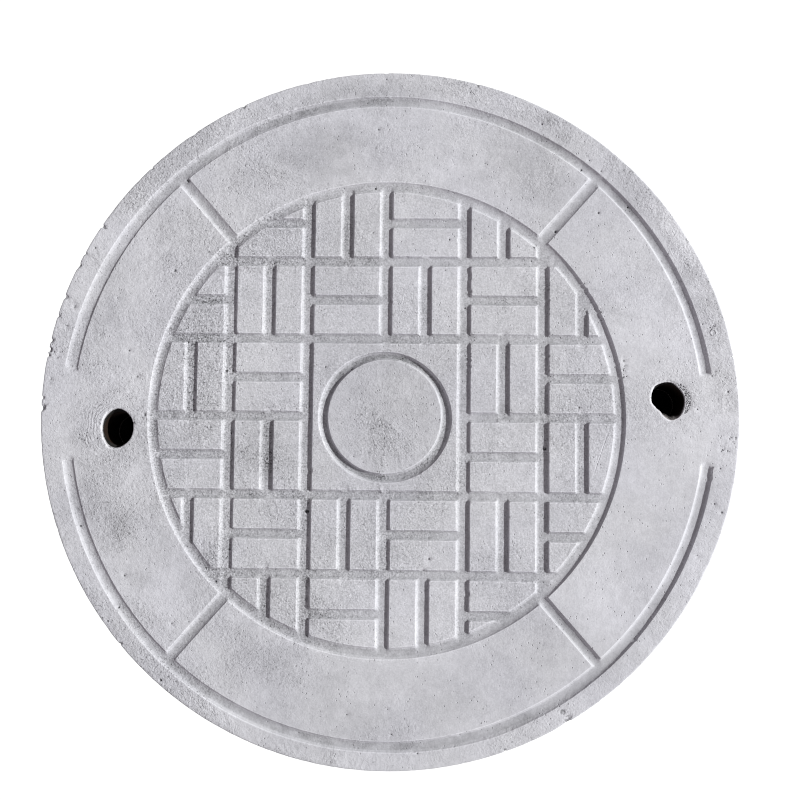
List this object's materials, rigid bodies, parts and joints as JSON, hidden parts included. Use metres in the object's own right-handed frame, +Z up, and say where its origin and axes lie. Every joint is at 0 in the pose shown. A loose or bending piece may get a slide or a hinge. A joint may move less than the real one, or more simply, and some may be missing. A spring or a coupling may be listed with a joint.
{
  "type": "manhole cover",
  "caption": "Round precast concrete manhole cover with a basket-weave grooved top, a plain centre panel with a ring, two lifting holes and a steel cage cast inside.",
  "frame": {"origin": "centre of the flat underside, which is the face that rests on the frame's ledge", "axes": "+Z up through the thickness to the grooved face; +X towards the right-hand lifting hole, whose line is turned 3.35 degrees from X; the basket weave's grooves run along X and Y"},
  "size_m": [0.6998, 0.6998, 0.07],
  "materials": {
    "concrete": "cast concrete, matte, light cool grey with cloudy patches, pinholes and small chips",
    "rebar": "hot-rolled steel bar with mill scale and light rust",
    "sleeve_steel": "plain steel tube, rusty with a cement film",
    "tie_wire": "black annealed wire"
  },
  "bodies": {
    "root": {"concrete_slab": "concrete", "bottom_main_bar_1": "rebar", "bottom_main_bar_2": "rebar", "bottom_main_bar_3": "rebar", "bottom_main_bar_4": "rebar", "bottom_main_bar_5": "rebar", "bottom_main_bar_6": "rebar", "bottom_cross_bar_1": "rebar", "bottom_cross_bar_2": "rebar", "bottom_cross_bar_3": "rebar", "bottom_cross_bar_4": "rebar", "bottom_cross_bar_5": "rebar", "bottom_cross_bar_6": "rebar", "bottom_hoop": "rebar", "top_main_bar_1": "rebar", "top_main_bar_2": "rebar", "top_main_bar_3": "rebar", "top_main_bar_4": "rebar", "top_cross_bar_1": "rebar", "top_cross_bar_2": "rebar", "top_cross_bar_3": "rebar", "top_cross_bar_4": "rebar", "top_hoop": "rebar", "edge_links": "rebar", "mat_spacer_bars": "rebar", "lifting_sleeve_left": "sleeve_steel", "lifting_sleeve_right": "sleeve_steel", "lifting_u_bar_left": "rebar", "lifting_u_bar_right": "rebar", "bottom_tie_wires": "tie_wire", "top_tie_wires": "tie_wire"}
  },
  "joints": []
}
